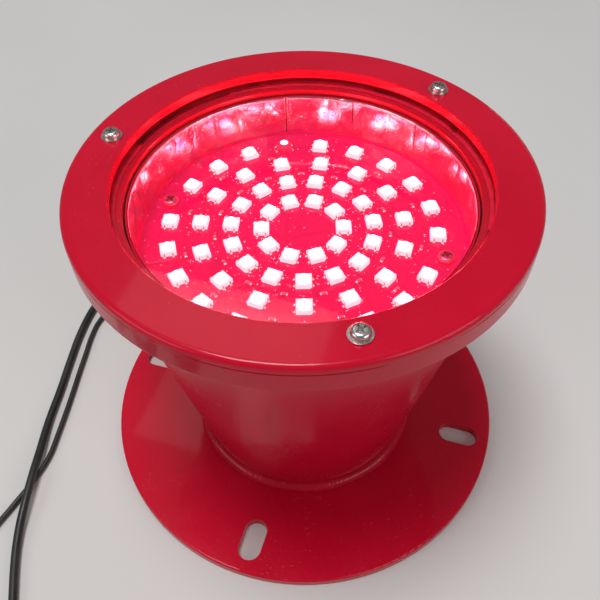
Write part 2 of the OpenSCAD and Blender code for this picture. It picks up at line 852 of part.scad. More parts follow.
// Free leads. The routes' points are chosen by hand; the coils are worked out from their turns
power_route = [
    [-99, 87.5, 19], [-111, 92.5, 12.5], [-125, 92.5, 6], [-138, 86, 3], [-149, 75, 2.3],
    [-157, 54, 2.3], [-159.5, 30, 2.3], [-157.5, 6, 2.3], [-152.5, -17, 2.3], [-147, -39, 2.3],
    [-142, -61, 2.6], [-136, -80, 4], [-130.5, -96, 6], [-126, -111, 5.2], [-120.5, -128, 2.9],
    [-111, -147, 2.3]
];
signal_route = [
    [-121, 38.5, 20], [-131, 39, 14], [-140, 36.5, 8], [-147, 30, 3.5], [-150.5, 19, 1.6],
    [-149.5, 6, 1.6], [-146, -9, 1.6], [-142.5, -24, 1.6], [-139, -38, 1.6], [-135.5, -53, 1.6],
    [-132.5, -67, 1.6], [-130, -81, 1.6], [-130.5, -96, 1.6], [-133, -111, 1.6], [-136, -127, 1.6]
];
coil_gap = 0.5;
loop_steps = 24;

// A coil: its middle, first radius, turns, direction of its start, height and straight tail
power_coil = [[-115, -206], 32, 3.5, 32, 2.3, 26];
signal_coil = [[-165, -147], 24, 6.5, -11, 1.6, 20];

// Turns run clockwise: inwards on the floor, up a layer where the spiral reverses, and outwards on top
function climb(t) = let (s = max(0, min(1, t))) s * s * (3 - 2 * s);
function coil_loops(coil, d) = [for (i = [0:coil[2] * loop_steps])
    let (
        t = i / loop_steps,
        r = coil[1] - (d + coil_gap) * min(t, coil[2] - t),
        a = coil[3] - 360 * t,
        up = climb((t - coil[2] / 2 + 0.25) / 0.5)
    )
    [coil[0][0] + r * cos(a), coil[0][1] + r * sin(a), coil[4] + (d + coil_gap) * up]
];
function coil_path(coil, d) =
    let (p = coil_loops(coil, d), n = len(p))
    concat([p[0] + d * unit(p[0] - p[1])], p, [p[n - 1] + coil[5] * unit(p[n - 1] - p[n - 2])]);
function least_gap(p, d) =
    min([for (i = [0:len(p) - 1]) for (j = [i + 10:1:len(p) - 1]) norm(p[i] - p[j])]) - d;

// A stretch leaves its gland straight and meets its coil straight
function stretch(angle, d, route, coil) =
    let (c = coil_path(coil, d), back = d * unit(c[0] - c[1]))
    smoothed(concat(
        [for (k = [0:2]) gland_point(angle, relief_end_x + k * d)],
        route, [for (k = [2:-1:0]) c[0] + k * back]
    ), 2);

power_coil_path = coil_path(power_coil, power_lead_d);
signal_coil_path = coil_path(signal_coil, signal_lead_d);
power_stretch = stretch(power_gland_at, power_lead_d, power_route, power_coil);
signal_stretch = stretch(signal_gland_at, signal_lead_d, signal_route, signal_coil);
echo(power_coil_gap = least_gap(power_coil_path, power_lead_d));
echo(signal_coil_gap = least_gap(signal_coil_path, signal_lead_d));
echo(power_length = route_length(power_stretch) + route_length(power_coil_path));
echo(signal_length = route_length(signal_stretch) + route_length(signal_coil_path));

module power_lead() {
    color([0.1, 0.1, 0.1]) swept_tube(power_stretch, power_lead_d, 8);
}

module signal_lead() {
    color([0.1, 0.1, 0.1]) swept_tube(signal_stretch, signal_lead_d, 8);
}

module power_lead_coil() {
    color([0.1, 0.1, 0.1]) swept_tube(power_coil_path, power_lead_d, 6);
}

module signal_lead_coil() {
    color([0.1, 0.1, 0.1]) swept_tube(signal_coil_path, signal_lead_d, 6);
}

// Round plugs: diameter and length. Each is on the end of its coil, with its local X along the lead
power_plug_size = [14, 36];
signal_plug_size = [10, 28];

module at_end_of(path) {
    n = len(path);
    way = path[n - 1] - path[n - 2];
    translate(path[n - 1]) rotate(atan2(way[1], way[0])) children();
}

// Plug body with a stepped grip, from the lead's end outwards
module plug_body(size) {
    d = size[0];
    l = size[1];
    rotate([0, 90, 0]) difference() {
        union() {
            cylinder(d1 = d * 0.62, d2 = d * 0.8, h = l * 0.3);
            translate([0, 0, l * 0.3]) cylinder(d = d * 0.86, h = l * 0.3);
            translate([0, 0, l * 0.6]) cylinder(d = d * 0.62, h = l * 0.4);
        }
        translate([0, 0, l * 0.8]) cylinder(d = d * 0.5, h = l);
    }
}

// Ribbed ring that screws onto the mating half
module plug_nut(size) {
    d = size[0];
    l = size[1];
    translate([l * 0.62, 0, 0]) rotate([0, 90, 0]) difference() {
        union() {
            cylinder(d = d * 0.92, h = l * 0.34);
            around(16, d * 0.46) cylinder(r = d * 0.04, h = l * 0.34, $fn = 24);
        }
        translate([0, 0, -1]) cylinder(d = d * 0.62 + 2 * fit, h = l);
    }
}

module plug_pins(size, n) {
    d = size[0];
    l = size[1];
    translate([l * 0.8, 0, 0]) rotate([0, 90, 0]) around(n, d * 0.13) cylinder(d = d * 0.08, h = l * 0.17);
}

module power_plug() {
    color([0.1, 0.1, 0.1]) at_end_of(power_coil_path) plug_body(power_plug_size);
}

module power_plug_nut() {
    color([0.15, 0.15, 0.15]) at_end_of(power_coil_path) plug_nut(power_plug_size);
}

module power_plug_pins() {
    color("gold") at_end_of(power_coil_path) plug_pins(power_plug_size, 2);
}

module signal_plug() {
    color([0.1, 0.1, 0.1]) at_end_of(signal_coil_path) plug_body(signal_plug_size);
}

module signal_plug_nut() {
    color([0.15, 0.15, 0.15]) at_end_of(signal_coil_path) plug_nut(signal_plug_size);
}

module signal_plug_pins() {
    color("gold") at_end_of(signal_coil_path) plug_pins(signal_plug_size, 3);
}

foot_plate();
body_shell();
foot_weld();
head_ring();
head_weld();
lower_gasket();
lens_glass();
upper_gasket();
cover_ring();
cover_washers();
cover_screws();
lamp_tray();
foil_lining();
lamp_board();
lamp_bodies();
lamp_windows();
board_resistors();
board_screws();
board_spacers();
board_nuts();
carrier_bar();
tray_grommet();
battery_cells();
battery_sleeve();
battery_pad();
battery_clamp();
clamp_studs();
clamp_nuts();
driver_board();
driver_pillars();
driver_screws();
driver_coil();
driver_capacitors();
driver_chips();
terminal_block();
inner_leads();
gland_sockets();
socket_welds();
gland_bodies();
gland_seals();
gland_nuts();
bend_reliefs();
lead_ends();
power_lead();
power_lead_coil();
power_plug();
power_plug_nut();
power_plug_pins();
signal_lead();
signal_lead_coil();
signal_plug();
signal_plug_nut();
signal_plug_pins();
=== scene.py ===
import math
import random

import bpy
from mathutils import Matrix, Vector


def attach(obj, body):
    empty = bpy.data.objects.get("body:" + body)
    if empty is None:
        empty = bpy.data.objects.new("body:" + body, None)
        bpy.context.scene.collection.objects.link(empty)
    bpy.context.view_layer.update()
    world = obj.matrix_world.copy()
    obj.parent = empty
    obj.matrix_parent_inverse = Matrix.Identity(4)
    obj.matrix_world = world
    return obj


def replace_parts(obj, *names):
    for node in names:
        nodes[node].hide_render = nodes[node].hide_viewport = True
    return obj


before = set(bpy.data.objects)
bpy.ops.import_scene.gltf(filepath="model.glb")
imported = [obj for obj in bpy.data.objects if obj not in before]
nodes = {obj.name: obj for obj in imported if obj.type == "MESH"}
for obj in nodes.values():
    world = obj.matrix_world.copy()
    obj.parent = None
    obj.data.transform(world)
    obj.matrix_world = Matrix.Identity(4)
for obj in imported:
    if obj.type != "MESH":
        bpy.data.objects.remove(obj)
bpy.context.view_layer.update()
scene = bpy.context.scene
MM = 0.001

# Camera, found from the circles of the lamps, the opening, the cover ring and the foot plate
lens = bpy.data.cameras.new("camera")
lens.lens = 40.57
lens.sensor_width = 36
lens.clip_start = 0.01
camera = bpy.data.objects.new("camera", lens)
camera.location = (0.06819, -0.21478, 0.35615)
camera.rotation_euler = [math.radians(a) for a in (40.657, 0.698, 17.246)]
scene.collection.objects.link(camera)
scene.camera = camera

# Sizes repeated from the construction. From here on all sizes are in millimetres, unless a
# comment says otherwise
BODY_BASE_Z, BODY_H, BODY_FOOT_R, BODY_TOP_R = 5, 157, 59, 90
BODY_SLOPE = (BODY_TOP_R - BODY_FOOT_R) / BODY_H
BODY_LEAN = math.atan(BODY_SLOPE)
FOOT_WELD_LEG, HEAD_WELD_LEG = 5, 4
GLAND_Z = 34
RELIEF_END_X = 49
POWER_D, SIGNAL_D = 4.5, 3


def body_r(z):
    return BODY_FOOT_R + BODY_SLOPE * (z - BODY_BASE_Z)


def polar(r, degrees, z):
    a = math.radians(degrees)
    return Vector((r * math.cos(a), r * math.sin(a), z))


# Cords: the routes' points are the construction's own
POWER_ROUTE = [
    (-99, 87.5, 19), (-111, 92.5, 12.5), (-125, 92.5, 6), (-138, 86, 3), (-149, 75, 2.3),
    (-157, 54, 2.3), (-159.5, 30, 2.3), (-157.5, 6, 2.3), (-152.5, -17, 2.3), (-147, -39, 2.3),
    (-142, -61, 2.6), (-136, -80, 4), (-130.5, -96, 6), (-126, -111, 5.2), (-120.5, -128, 2.9),
    (-111, -147, 2.3),
]
SIGNAL_ROUTE = [
    (-121, 38.5, 20), (-131, 39, 14), (-140, 36.5, 8), (-147, 30, 3.5), (-150.5, 19, 1.6),
    (-149.5, 6, 1.6), (-146, -9, 1.6), (-142.5, -24, 1.6), (-139, -38, 1.6), (-135.5, -53, 1.6),
    (-132.5, -67, 1.6), (-130, -81, 1.6), (-130.5, -96, 1.6), (-133, -111, 1.6), (-136, -127, 1.6),
]
# A coil: its middle, first radius, turns, direction of its start, height and straight tail
POWER_COIL = ((-115, -206), 32, 3.5, 32, 2.3, 26)
SIGNAL_COIL = ((-165, -147), 24, 6.5, -11, 1.6, 20)
# A cord: its name, the direction of its gland, diameter, route, coil and free length in metres
CORDS = (
    ("power", 138, POWER_D, POWER_ROUTE, POWER_COIL, 0.993),
    ("signal", 162, SIGNAL_D, SIGNAL_ROUTE, SIGNAL_COIL, 1.0),
)
# Air between a coil's turns, points in a turn, and share of a turn in which it climbs onto itself
COIL_GAP, LOOP_STEPS, CLIMB = 0.5, 24, 0.5


def gland_point(angle, x):
    """Point on a gland's axis, at a distance from the body's wall."""
    r = body_r(GLAND_Z) + x * math.cos(BODY_LEAN)
    return polar(r, angle, GLAND_Z - x * math.sin(BODY_LEAN))


def coil_path(coil, d):
    """Points of a coil that winds inwards on the floor, then outwards on top of those turns."""
    middle, first_r, turns, start, height, tail = coil
    pitch = d + COIL_GAP
    loops = []
    for i in range(int(turns * LOOP_STEPS) + 1):
        t = i / LOOP_STEPS
        s = max(0, min(1, (t - turns / 2 + CLIMB / 2) / CLIMB))
        climbed = s * s * (3 - 2 * s)
        r = first_r - pitch * min(t, turns - t)
        loops.append(polar(r, start - 360 * t, height + pitch * climbed) + Vector((*middle, 0)))
    first = loops[0] + d * (loops[0] - loops[1]).normalized()
    last = loops[-1] + tail * (loops[-1] - loops[-2]).normalized()
    return [first] + loops + [last]


def cord_path(angle, d, route, coil):
    """Straight out of the gland, along the route, straight into the coil, and round it."""
    coiled = coil_path(coil, d)
    back = d * (coiled[0] - coiled[1]).normalized()
    start = [gland_point(angle, RELIEF_END_X + k * d) for k in range(3)]
    return start + [Vector(p) for p in route] + [coiled[0] + k * back for k in (2, 1)] + coiled


def make_cord(name, d, points):
    """A round cable through these points."""
    data = bpy.data.curves.new(name, "CURVE")
    data.dimensions = "3D"
    data.resolution_u = 4
    data.bevel_depth = 1
    data.bevel_resolution = 4
    data.use_fill_caps = True
    spline = data.splines.new("BEZIER")
    spline.bezier_points.add(len(points) - 1)
    for knot, p in zip(spline.bezier_points, points):
        knot.co = p * MM
        knot.handle_left_type = knot.handle_right_type = "AUTO"
        knot.radius = d * MM / 2
    piece = bpy.data.objects.new(name, data)
    scene.collection.objects.link(piece)
    return piece


cords = []
for side, angle, d, route, coil, length in CORDS:
    cord = make_cord(side + "_cord", d, cord_path(angle, d, route, coil))
    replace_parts(cord, side + "_lead", side + "_lead_coil")
    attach(cord, "root")
    cords.append(cord)


# Materials
class Surface:
    """A Principled material and short ways to put detail on its sockets.

    Textures have scales per metre."""

    # The Mix node's sockets for colours
    MIX_FIRST, MIX_SECOND, MIX_RESULT = 6, 7, 2

    def __init__(self, name, color, roughness, **constants):
        self.material = bpy.data.materials.new(name)
        self.material.use_nodes = True
        self.tree = self.material.node_tree
        self.shader = self.tree.nodes["Principled BSDF"]
        self.place = self.tree.nodes.new("ShaderNodeTexCoord").outputs["Object"]
        self.shader.inputs["Base Color"].default_value = (*color, 1)
        self.shader.inputs["Roughness"].default_value = roughness
        for socket, value in constants.items():
            self.shader.inputs[socket.replace("_", " ")].default_value = value

    def node(self, kind, **settings):
        made = self.tree.nodes.new("ShaderNode" + kind)
        for key, value in settings.items():
            setattr(made, key, value)
        return made

    def link(self, a, b):
        self.tree.links.new(a, b)

    def stretched(self, scale):
        """Coordinates scaled along each axis."""
        mapping = self.node("Mapping")
        mapping.inputs["Scale"].default_value = scale
        self.link(self.place, mapping.inputs["Vector"])
        return mapping.outputs["Vector"]

    def noise(self, scale, detail=2.0, rough=0.5, place=None):
        made = self.node("TexNoise")
        made.inputs["Scale"].default_value = scale
        made.inputs["Detail"].default_value = detail
        made.inputs["Roughness"].default_value = rough
        self.link(place or self.place, made.inputs["Vector"])
        return made.outputs["Fac"]

    def cells(self, scale, feature="F1", place=None):
        made = self.node("TexVoronoi", feature=feature)
        made.inputs["Scale"].default_value = scale
        self.link(place or self.place, made.inputs["Vector"])
        return made.outputs["Distance"]

    def ranged(self, value, to_low=0, to_high=1, low=0.3, high=0.7):
        """A value from low to high turned into one from to_low to to_high."""
        made = self.node("MapRange")
        limits = (("From Min", low), ("From Max", high), ("To Min", to_low), ("To Max", to_high))
        for key, number in limits:
            made.inputs[key].default_value = number
        self.link(value, made.inputs["Value"])
        return made.outputs["Result"]

    def combined(self, operation, a, b):
        made = self.node("Math", operation=operation)
        for socket, value in zip(made.inputs, (a, b)):
            if isinstance(value, (int, float)):
                socket.default_value = value
            else:
                self.link(value, socket)
        return made.outputs["Value"]

    def blended(self, share, first, second):
        """Colour between two colours or colour outputs."""
        made = self.node("Mix", data_type="RGBA")
        self.link(share, made.inputs["Factor"])
        for number, value in ((self.MIX_FIRST, first), (self.MIX_SECOND, second)):
            if isinstance(value, tuple):
                made.inputs[number].default_value = (*value, 1)
            else:
                self.link(value, made.inputs[number])
        return made.outputs[self.MIX_RESULT]

    def color(self, output):
        self.link(output, self.shader.inputs["Base Color"])

    def cloudy(self, noise, first, second, low=0.3, high=0.7):
        """Colour that drifts from one to another with a noise."""
        self.color(self.blended(self.ranged(noise, low=low, high=high), first, second))

    def roughness(self, output):
        self.link(output, self.shader.inputs["Roughness"])

    def glow(self, color, strength):
        self.shader.inputs["Emission Color"].default_value = (*color, 1)
        self.shader.inputs["Emission Strength"].default_value = strength

    def bumps(self, *layers):
        """Layers of (height output, depth in millimetres), stacked."""
        last = None
        for height, depth in layers:
            made = self.node("Bump")
            made.inputs["Strength"].default_value = 1
            made.inputs["Distance"].default_value = depth * MM
            self.link(height, made.inputs["Height"])
            if last:
                self.link(last, made.inputs["Normal"])
            last = made.outputs["Normal"]
        self.link(last, self.shader.inputs["Normal"])


def red_paint(name, dust, peel, coat=0.22, specular=0.15):
    """Glossy powder coat: orange peel, slow shifts of shade, and a share of settled dust."""
    s = Surface(
        name, (0.56, 0.003, 0.024), 0.24,
        Coat_Weight=coat, Coat_Roughness=0.05, Specular_IOR_Level=specular,
    )
    shade = s.blended(s.ranged(s.noise(14, 3)), (0.60, 0.0035, 0.028), (0.50, 0.002, 0.02))
    specks = s.ranged(s.noise(700, 2, 0.6), low=0.66, high=0.74)
    dusty_places = s.ranged(s.noise(9, 2), low=0.4, high=0.65)
    settled = s.combined("MULTIPLY", s.combined("MULTIPLY", specks, dusty_places), dust)
    s.color(s.blended(settled, shade, (0.6, 0.12, 0.12)))
    clean = s.ranged(s.noise(45, 4, 0.6), 0.19, 0.29)
    s.roughness(s.combined("ADD", clean, s.combined("MULTIPLY", settled, 0.3)))
    s.bumps((s.noise(330, 2), 0.06 * peel), (s.noise(60, 3), 0.1 * peel))
    return s


def rubber(name, color):
    """Matt rubber with a faint bloom."""
    s = Surface(name, color, 0.6, Specular_IOR_Level=0.35)
    s.cloudy(s.noise(260, 4, 0.6), color, tuple(c * 0.7 + 0.004 for c in color), low=0.35)
    s.roughness(s.ranged(s.noise(120, 3), 0.52, 0.74))
    s.bumps((s.noise(1500, 2), 0.03))
    return s


def plated(name, color, low, high):
    """Plated or bare metal: cloudy passivation, fine pits and drawn lines."""
    s = Surface(name, color, 0.3, Metallic=1.0)
    s.cloudy(s.noise(180, 3), color, tuple(c * k for c, k in zip(color, (0.86, 0.84, 0.78))))
    s.roughness(s.ranged(s.noise(420, 4, 0.65), low, high))
    s.bumps((s.noise(900, 3, 0.6), 0.02), (s.noise(90, 2, place=s.stretched((1, 1, 14))), 0.01))
    return s


def plastic(name, color, low, high, grain=0.02, other=None, **constants):
    """Moulded plastic or resin: fine spark texture and a faint cloud of colour."""
    s = Surface(name, color, low, **constants)
    s.cloudy(s.noise(70, 3), color, other or tuple(c * 0.8 for c in color))
    s.roughness(s.ranged(s.noise(300, 3), low, high))
    s.bumps((s.noise(1800, 2), grain))
    return s


paint = red_paint("red_paint", 0.35, 1.0)
plate_paint = red_paint("red_paint_plate", 0.5, 1.3)
weld_paint = red_paint("red_paint_weld", 0.5, 1.5)
# Under the glass there is no polish: only colour
tray_paint = red_paint("red_paint_tray", 0.2, 1.0, coat=0, specular=0.03)
# Red silicone, made brighter than its own red as painted light, for the lamps' light that reaches
# the recess round the glass
window_gasket = rubber("window_gasket", (0.78, 0.005, 0.045))
black_rubber = rubber("gasket_rubber", (0.02, 0.02, 0.02))
zinc_steel = plated("zinc_steel", (0.74, 0.7, 0.7), 0.16, 0.34)
# The board's screws and resistors have the lamps' red light painted into their colour: they are
# pink, as they look in the lamps' light
board_steel_painted_red_light = plated("board_steel_painted_red_light", (0.95, 0.12, 0.26), 0.3, 0.5)
pale_chip_painted_red_light = plastic("chip_pale", (0.8, 0.1, 0.22), 0.35, 0.5)
leg_metal = plated("leg_metal", (0.5, 0.47, 0.47), 0.25, 0.4)
brass = plated("brass", (0.78, 0.56, 0.24), 0.16, 0.34)
chip = plastic("chip_black", (0.02, 0.02, 0.022), 0.35, 0.5)
nylon = plastic("white_nylon", (0.8, 0.79, 0.74), 0.4, 0.55)
black_nylon = plastic("black_nylon", (0.018, 0.018, 0.019), 0.32, 0.5, grain=0.04)
sleeve = plastic("pack_sleeve", (0.02, 0.05, 0.42), 0.16, 0.3, other=(0.015, 0.035, 0.3))
cell_wrap = plastic("cell_wrap", (0.02, 0.28, 0.3), 0.18, 0.3)
capacitor = plastic("capacitor_sleeve", (0.01, 0.012, 0.09), 0.16, 0.28)
mask = plastic("green_board", (0.006, 0.11, 0.025), 0.18, 0.32, other=(0.01, 0.18, 0.04))
insulation = plastic("lead_insulation", (0.42, 0.012, 0.01), 0.35, 0.5)

# Enamelled wire: its turns are ridges, in the place of plated metal's pits
winding = plated("copper_winding", (0.72, 0.3, 0.12), 0.22, 0.4)
winding.bumps((winding.noise(60, 1, place=winding.stretched((30, 30, 1))), 0.2))

# Pressed foil: creases, dents, crinkles that run upwards, and slow waves
# The foil's pink and crimson colour is painted reflection: it stands in for the red board and lamps
# mirrored in the silver foil
foil_metal = Surface("foil", (0.95, 0.36, 0.44), 0.12, Metallic=1.0)
foil_metal.cloudy(foil_metal.noise(120, 4), (0.98, 0.8, 0.82), (0.92, 0.2, 0.42), low=0.35)
foil_metal.roughness(foil_metal.ranged(foil_metal.noise(260, 3), 0.14, 0.24))
creases = foil_metal.cells(150, "DISTANCE_TO_EDGE", foil_metal.stretched((1, 1, 0.6)))
foil_metal.bumps(
    (foil_metal.ranged(creases, low=0, high=0.12), 0.03),
    (foil_metal.ranged(foil_metal.cells(520), low=0.16, high=0.3), 0.04),
    (foil_metal.noise(900, 3, 0.6, place=foil_metal.stretched((1, 1, 0.3))), 0.03),
    (foil_metal.noise(40, 2), 2),
)
# A plain darker colour on the faces of the seams' upper halves
dark_seam = plastic("dark_seam", (0.09, 0.002, 0.012), 0.4, 0.6)
# The sealant's bright red is partly painted light: it is made brighter to cancel the shade along
# the foil's foot. The foil's rim has it too
edge_sealant = plastic("edge_sealant", (0.95, 0.0015, 0.12), 0.4, 0.6, Specular_IOR_Level=0.05)

# Clear glass, as a mostly see-through sheet that lets the lamps' light out
glass = Surface("window_glass", (0.02, 0.03, 0.028), 0.02, Alpha=0.045, IOR=3.0)
glass.roughness(glass.ranged(glass.noise(30, 4, 0.6), 0.015, 0.05, low=0.35, high=0.75))

# The lamp board: solder mask with slightly raised copper areas and scattered vias
board = Surface("board_red", (0.74, 0.002, 0.04), 0.08, Specular_IOR_Level=0.5)
copper = board.ranged(board.cells(55, "DISTANCE_TO_EDGE"), low=0.03, high=0.05)
vias = board.ranged(board.cells(230), 1, 0, low=0.1, high=0.13)
board_mask = board.blended(copper, (0.7, 0.0011, 0.09), (0.76, 0.0013, 0.1))
board.color(board.blended(vias, board_mask, (0.95, 0.12, 0.25)))
board.roughness(board.ranged(board.noise(90, 4), 0.04, 0.1))
board.bumps((copper, 0.02), (vias, 0.06))

# Lit lamps: a hot window in a glowing pale body. The window's light is red, and only its
# level turns the window white
lamp_window = plastic("lamp_dome", (0.9, 0.5, 0.55), 0.08, 0.16, grain=0.01)
lamp_window.glow((1, 0.07, 0.1), 26)
lamp_body = plastic("lamp_resin", (0.85, 0.3, 0.38), 0.3, 0.45, Specular_IOR_Level=0.2)
lamp_body.glow((1, 0.6, 0.68), 1.05)
dim_resin = plastic("lamp_resin_dim", (0.95, 0.03, 0.16), 0.2, 0.34)

# Solder, with a painted glow that stands in for the lamps' light it catches
solder = Surface("solder", (0.86, 0.82, 0.84), 0.2, Metallic=1.0)
solder.cloudy(solder.noise(900, 2), (0.9, 0.86, 0.88), (0.7, 0.66, 0.69))
solder.roughness(solder.ranged(solder.noise(1500, 3), 0.12, 0.35))
solder.bumps((solder.noise(1300, 2), 0.02))
# Painted light: the solder is no lamp, and this glow stands in for glints of the lamps' light
solder.glow((1, 0.5, 0.6), 0.35)

# Cable sheath: satin black, with handling marks
cable = Surface("black_cable", (0.016, 0.016, 0.017), 0.42, Specular_IOR_Level=0.45)
cable.cloudy(
    cable.noise(60, 3), (0.014, 0.014, 0.015), (0.03, 0.029, 0.028), low=0.4, high=0.75,
)
cable.roughness(cable.ranged(cable.noise(220, 4), 0.34, 0.52))
cable.bumps((cable.noise(900, 2), 0.03))

finishes = {
    paint: ["body_shell", "head_ring", "cover_ring", "gland_sockets"],
    tray_paint: ["lamp_tray"],
    plate_paint: ["foot_plate"],
    weld_paint: ["socket_welds", "foot_weld", "head_weld"],
    window_gasket: ["lower_gasket", "upper_gasket"],
    black_rubber: ["tray_grommet", "battery_pad", "gland_seals", "bend_reliefs"],
    glass: ["lens_glass"],
    zinc_steel: [
        "cover_washers", "cover_screws", "board_nuts", "clamp_studs", "clamp_nuts",
        "driver_screws", "carrier_bar", "battery_clamp",
    ],
    board_steel_painted_red_light: ["board_screws"],
    foil_metal: ["foil_lining"],
    board: ["lamp_board"],
    lamp_body: ["lamp_bodies"],
    lamp_window: ["lamp_windows"],
    pale_chip_painted_red_light: ["board_resistors"],
    chip: ["driver_chips"],
    nylon: ["board_spacers"],
    cell_wrap: ["battery_cells"],
    sleeve: ["battery_sleeve"],
    mask: ["driver_board", "terminal_block"],
    brass: ["driver_pillars", "power_plug_pins", "signal_plug_pins"],
    winding: ["driver_coil"],
    capacitor: ["driver_capacitors"],
    insulation: ["inner_leads"],
    black_nylon: [
        "gland_bodies", "gland_nuts",
        "power_plug", "power_plug_nut", "signal_plug", "signal_plug_nut",
    ],
    cable: ["lead_ends", "power_lead", "power_lead_coil", "signal_lead", "signal_lead_coil"],
}


def dress(piece, surface):
    if not piece.data.materials:
        piece.data.materials.append(surface.material)
    for slot in piece.material_slots:
        slot.material = surface.material


for surface, names in finishes.items():
    for name in names:
        dress(nodes[name], surface)
for cord in cords:
    dress(cord, cable)


# Pieces made of points and faces, with the points in millimetres
def add_piece(name, verts, faces, surface, smooth=True):
    mesh = bpy.data.meshes.new(name)
    mesh.from_pydata([Vector(v) * MM for v in verts], [], faces)
    mesh.update()
    for polygon in mesh.polygons:
        polygon.use_smooth = smooth
    piece = bpy.data.objects.new(name, mesh)
    scene.collection.objects.link(piece)
    dress(piece, surface)
    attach(piece, "root")
    return piece


def paint_faces(piece, surface, numbers):
    """Another material on the faces with these numbers."""
    piece.data.materials.append(surface.material)
    for i in numbers:
        piece.data.polygons[i].material_index = len(piece.data.materials) - 1


def turned(x, y, turn, middle=(0, 0)):
    """A point turned by an angle in radians, then moved to a middle."""
    c, s = math.cos(turn), math.sin(turn)
    return middle[0] + c * x - s * y, middle[1] + s * x + c * y


def stack_faces(first, n, rings, pointed=False):
    """Faces of rings of n points over one another, numbered from first on, with a floor and
    a lid. A pointed stack has one more point over its last ring, in the place of the lid."""
    faces = []
    for k in range(rings - 1):
        for i in range(n):
            a, b = first + k * n + i, first + k * n + (i + 1) % n
            faces.append((a, b, b + n, a + n))
    last = first + (rings - 1) * n
    if pointed:
        faces += [(last + i, last + (i + 1) % n, last + n) for i in range(n)]
    faces.append(tuple(first + i for i in reversed(range(n))))
    if not pointed:
        faces.append(tuple(last + i for i in range(n)))
    return faces


# Welds: an uneven bead, its ripples low under the paint, in the place of each plain bead
WELD_AROUND, WELD_ACROSS = 1440, 12
# The section is an arc through these degrees. It sinks this far into the face under it, and
# its last point lies this far inside the body's outer face
WELD_START, WELD_SWEEP, WELD_SUNK, WELD_BACK = -12, 114, 0.3, 0.6
# Shares of the weld's leg: the arc's middle, and the bead's usual and greatest reach from it
ARC_MIDDLE, USUAL_REACH, GREATEST_REACH = 0.1, 0.92, 0.98
# Shares of the reach: the plain bead's, and its ripples'
PLAIN_SHARE, RIPPLE_SHARE = 0.88, 0.05


def ripple(turn, across, count, offset):
    """Height of the bead's crescents, at a turn from 0 to 1 and a place across it from 0 to 1."""
    wobble = 0.35 * math.sin(2 * math.pi * 7 * turn + offset)
    wobble += 0.25 * math.sin(2 * math.pi * 19 * turn)
    bow = 0.55 * (1 - (2 * across - 1) ** 2)
    phase = (turn * count + wobble - bow) % 1
    return phase ** 0.6 * (1 - phase) ** 0.25


def weld_bead(name, node, z, leg, way, count, seed):
    """A bead of count ripples at z; way is 1 above a flat face and -1 below one."""
    rng = random.Random(seed)
    swells = [
        (rng.uniform(0, 6.28), rng.randint(3, 17), rng.uniform(0.02, 0.05)) for _ in range(5)
    ]
    verts, faces = [], []
    for i in range(WELD_AROUND):
        turn = i / WELD_AROUND
        swell = 1 + sum(a * math.sin(2 * math.pi * n * turn + p) for p, n, a in swells)
        reach = min(leg * USUAL_REACH * swell, leg * GREATEST_REACH)
        for j in range(WELD_ACROSS):
            across = j / (WELD_ACROSS - 1)
            a = math.radians(WELD_START + WELD_SWEEP * across)
            rippled = RIPPLE_SHARE * ripple(turn, across, count, swells[0][0])
            bulge = reach * (PLAIN_SHARE + rippled)
            out = leg * ARC_MIDDLE + bulge * math.cos(a)
            up = max(leg * ARC_MIDDLE + bulge * math.sin(a), -WELD_SUNK)
            wall_r = body_r(z + way * max(up, 0)) - (BODY_SLOPE * up if way > 0 else 0)
            verts.append(polar(wall_r + out, 360 * turn, z + way * up))
        verts.append(polar(body_r(z) - WELD_BACK, 360 * turn, z - way * WELD_SUNK))
    n = WELD_ACROSS + 1
    for i in range(WELD_AROUND):
        a, b = i * n, (i + 1) % WELD_AROUND * n
        for j in range(n):
            m = (j + 1) % n
            quad = (a + j, b + j, b + m, a + m)
            faces.append(quad if way > 0 else quad[::-1])
    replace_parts(add_piece(name, verts, faces, weld_paint), node)


weld_bead("foot_weld_bead", "foot_weld", BODY_BASE_Z, FOOT_WELD_LEG, 1, 128, 3)
weld_bead("head_weld_bead", "head_weld", BODY_BASE_Z + BODY_H, HEAD_WELD_LEG, -1, 210, 5)


# Foil lining, in the place of the plain ring: a sheet pressed into flat panels, with a slit
# where its ends meet, two darker seam lines in its upper half, and a sealed foot
FOIL_LOW, FOIL_HIGH = 138.3, 164.25
# Inner radius at the creases and at the rim, and thickness
CREASE_R, RIM_R, FOIL_SHEET = 74.66, 74.6, 0.1
# The part of the height, at its top, in which the panels round out into the rim
RIM_PART = 0.15
# Waves in the sheet: depth, and number round the ring
FOIL_WAVES = ((0.06, 13), (0.02, 43), (0.007, 97))
FOIL_AROUND, FOIL_UP = 900, 18
# In degrees: the slit and its width, the seams, and the least and greatest width of a panel
SLIT, SLIT_GAP, SEAMS = 113.5, 0.4, (87, 60)
PANEL_MIN, PANEL_MAX = 7, 13
# How far a crease leans over the whole height, in degrees, and how fast that changes round
# the ring
CREASE_LEAN, LEAN_RATE = 1.6, 0.13
# Where the seams start, as a share of the height
SEAM_FOOT = 0.5
# Section of the sealant, as radius and height, from its lip on the board outwards
SEALANT = (
    (73.2, 143.12), (73.2, 143.24), (74.2, 143.34), (74.58, 143.9), (74.68, 143.6),
    (74.5, 143.12),
)
SEALANT_AROUND = 360


def foil_creases(rng):
    """Directions of the creases, from the slit round to the slit again."""
    marks = sorted([SLIT, SLIT + 360] + [a + 360 for a in SEAMS])
    creases = [marks[0]]
    for mark in marks[1:]:
        while mark - creases[-1] > PANEL_MAX:
            widest = min(PANEL_MAX, (mark - creases[-1]) / 2 + 6)
            creases.append(creases[-1] + rng.uniform(PANEL_MIN, widest))
        creases.append(mark)
    return creases


